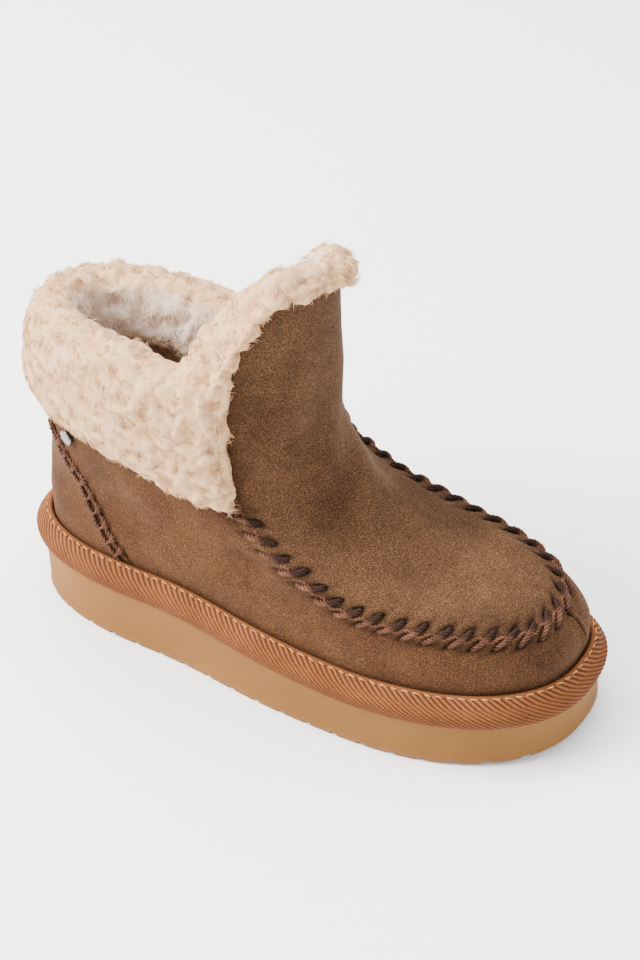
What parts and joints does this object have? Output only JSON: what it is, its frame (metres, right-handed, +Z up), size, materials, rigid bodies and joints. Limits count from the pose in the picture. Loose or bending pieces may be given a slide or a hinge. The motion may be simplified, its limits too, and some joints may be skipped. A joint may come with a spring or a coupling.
{
  "type": "ankle boot",
  "caption": "Right suede ankle boot with a stitched moccasin seam, a turned-down pile cuff, a tape-bound edge and a flat platform sole.",
  "frame": {"origin": "centre of the boot's bounding box in plan, on the floor it stands on", "axes": "+Z up, -Y towards the toe, -X towards the outer side of the foot"},
  "size_m": [0.1058, 0.2788, 0.2171],
  "materials": {
    "foam": "matt moulded foam",
    "webbing": "twill tape",
    "insole_pile": "short pile",
    "suede": "napped suede",
    "thread": "waxed cord",
    "steel": "polished",
    "pile": "curly pile"
  },
  "bodies": {
    "root": {"outsole": "foam", "rand_tape": "webbing", "insole": "insole_pile", "upper": "suede", "apron_seam": "thread", "ladder_seam_outer": "thread", "ladder_seam_inner": "thread", "cuff_stud": "steel", "fur_cuff": "pile"}
  },
  "joints": []
}
